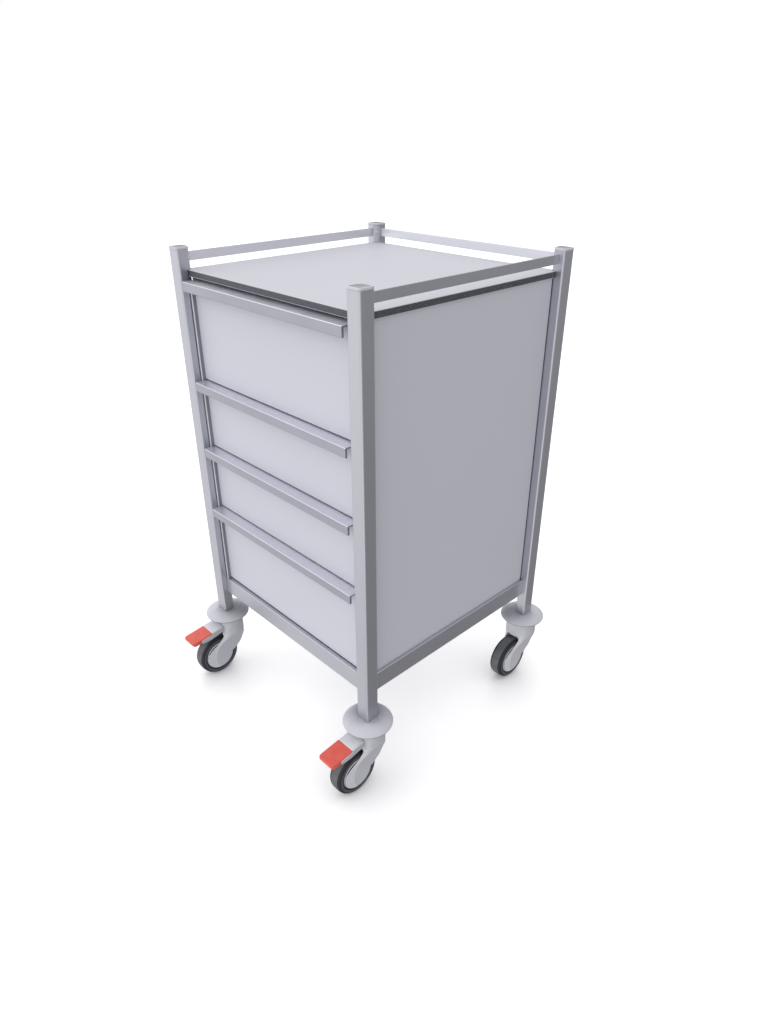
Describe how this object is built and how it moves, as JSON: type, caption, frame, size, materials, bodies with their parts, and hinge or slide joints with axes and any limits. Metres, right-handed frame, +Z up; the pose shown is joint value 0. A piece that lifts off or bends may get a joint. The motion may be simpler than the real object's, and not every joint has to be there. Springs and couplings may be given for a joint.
{
  "type": "bedside cabinet",
  "caption": "Mobile bedside cabinet with a square aluminium frame, gallery-railed worktop, stacked drawers with full-width grip handles, and braked swivel castors.",
  "frame": {"origin": "on the floor, at the middle of the outline seen from above with the castors trailing forward as at rest", "axes": "+Z up, -Y to the front where the drawers open, +X to the right of someone facing the drawers"},
  "size_m": [0.6, 0.663, 0.9825],
  "materials": {
    "aluminium": "satin anodised extrusion",
    "handle_aluminium": "satin anodised extrusion",
    "cap_plastic": "moulded, fine satin",
    "laminate": "light grey laminate, matt",
    "worktop_laminate": "compact laminate, pale faces and a dark core at the edge",
    "tray_plastic": "moulded, fine texture",
    "runner_steel": "zinc plated",
    "castor_plastic": "moulded, satin",
    "hub_plastic": "moulded, satin",
    "tyre": "solid grey rubber, darker at the edges",
    "pedal_red": "moulded, semi-gloss"
  },
  "bodies": {
    "frame": {"post_front_left": "aluminium", "post_cap_front_left": "cap_plastic", "post_front_right": "aluminium", "post_cap_front_right": "cap_plastic", "post_rear_right": "aluminium", "post_cap_rear_right": "cap_plastic", "post_rear_left": "aluminium", "post_cap_rear_left": "cap_plastic", "bottom_rail_front": "aluminium", "bottom_rail_rear": "aluminium", "bottom_rail_left": "aluminium", "bottom_rail_right": "aluminium", "gallery_rail_rear": "aluminium", "gallery_rail_left": "aluminium", "gallery_rail_right": "aluminium", "side_panel_left": "laminate", "side_panel_right": "laminate", "back_panel": "laminate", "base_panel": "laminate", "worktop": "worktop_laminate", "runner_left_drawer_1": "runner_steel", "runner_right_drawer_1": "runner_steel", "runner_left_drawer_2": "runner_steel", "runner_right_drawer_2": "runner_steel", "runner_left_drawer_3": "runner_steel", "runner_right_drawer_3": "runner_steel", "runner_left_drawer_4": "runner_steel", "runner_right_drawer_4": "runner_steel", "castor_front_left_bumper": "castor_plastic", "castor_front_right_bumper": "castor_plastic", "castor_rear_right_bumper": "castor_plastic", "castor_rear_left_bumper": "castor_plastic"},
    "drawer_1": {"drawer_1_front": "laminate", "drawer_1_handle": "handle_aluminium", "drawer_1_tray": "tray_plastic"},
    "drawer_2": {"drawer_2_front": "laminate", "drawer_2_handle": "handle_aluminium", "drawer_2_tray": "tray_plastic"},
    "drawer_3": {"drawer_3_front": "laminate", "drawer_3_handle": "handle_aluminium", "drawer_3_tray": "tray_plastic"},
    "drawer_4": {"drawer_4_front": "laminate", "drawer_4_handle": "handle_aluminium", "drawer_4_tray": "tray_plastic"},
    "castor_front_left": {"castor_front_left_fork": "castor_plastic"},
    "castor_front_left_wheel": {"castor_front_left_hub": "hub_plastic", "castor_front_left_tyre": "tyre"},
    "brake_front_left": {"castor_front_left_brake_lever": "castor_plastic", "castor_front_left_brake_pedal": "pedal_red"},
    "castor_front_right": {"castor_front_right_fork": "castor_plastic"},
    "castor_front_right_wheel": {"castor_front_right_hub": "hub_plastic", "castor_front_right_tyre": "tyre"},
    "brake_front_right": {"castor_front_right_brake_lever": "castor_plastic", "castor_front_right_brake_pedal": "pedal_red"},
    "castor_rear_right": {"castor_rear_right_fork": "castor_plastic"},
    "castor_rear_right_wheel": {"castor_rear_right_hub": "hub_plastic", "castor_rear_right_tyre": "tyre"},
    "castor_rear_left": {"castor_rear_left_fork": "castor_plastic"},
    "castor_rear_left_wheel": {"castor_rear_left_hub": "hub_plastic", "castor_rear_left_tyre": "tyre"}
  },
  "joints": [
    {"name": "drawer_1_slide", "type": "slide", "parent": "frame", "child": "drawer_1", "axis": [0, -1, 0], "range_m": [0, 0.32]},
    {"name": "drawer_2_slide", "type": "slide", "parent": "frame", "child": "drawer_2", "axis": [0, -1, 0], "range_m": [0, 0.32]},
    {"name": "drawer_3_slide", "type": "slide", "parent": "frame", "child": "drawer_3", "axis": [0, -1, 0], "range_m": [0, 0.32]},
    {"name": "drawer_4_slide", "type": "slide", "parent": "frame", "child": "drawer_4", "axis": [0, -1, 0], "range_m": [0, 0.32]},
    {"name": "castor_front_left_swivel", "type": "hinge", "parent": "frame", "child": "castor_front_left", "pos_m": [-0.25, -0.2185, 0.1345], "axis": [0, 0, 1], "continuous": true},
    {"name": "castor_front_left_spin", "type": "hinge", "parent": "castor_front_left", "child": "castor_front_left_wheel", "pos_m": [-0.25, -0.2615, 0.05], "axis": [1, 0, 0], "continuous": true},
    {"name": "brake_front_left_press", "type": "hinge", "parent": "castor_front_left", "child": "brake_front_left", "pos_m": [-0.25, -0.2385, 0.1195], "axis": [1, 0, 0], "range_deg": [0, 8]},
    {"name": "castor_front_right_swivel", "type": "hinge", "parent": "frame", "child": "castor_front_right", "pos_m": [0.25, -0.2185, 0.1345], "axis": [0, 0, 1], "continuous": true},
    {"name": "castor_front_right_spin", "type": "hinge", "parent": "castor_front_right", "child": "castor_front_right_wheel", "pos_m": [0.25, -0.2615, 0.05], "axis": [1, 0, 0], "continuous": true},
    {"name": "brake_front_right_press", "type": "hinge", "parent": "castor_front_right", "child": "brake_front_right", "pos_m": [0.25, -0.2385, 0.1195], "axis": [1, 0, 0], "range_deg": [0, 8]},
    {"name": "castor_rear_right_swivel", "type": "hinge", "parent": "frame", "child": "castor_rear_right", "pos_m": [0.25, 0.2815, 0.1345], "axis": [0, 0, 1], "continuous": true},
    {"name": "castor_rear_right_spin", "type": "hinge", "parent": "castor_rear_right", "child": "castor_rear_right_wheel", "pos_m": [0.25, 0.2385, 0.05], "axis": [1, 0, 0], "continuous": true},
    {"name": "castor_rear_left_swivel", "type": "hinge", "parent": "frame", "child": "castor_rear_left", "pos_m": [-0.25, 0.2815, 0.1345], "axis": [0, 0, 1], "continuous": true},
    {"name": "castor_rear_left_spin", "type": "hinge", "parent": "castor_rear_left", "child": "castor_rear_left_wheel", "pos_m": [-0.25, 0.2385, 0.05], "axis": [1, 0, 0], "continuous": true}
  ]
}
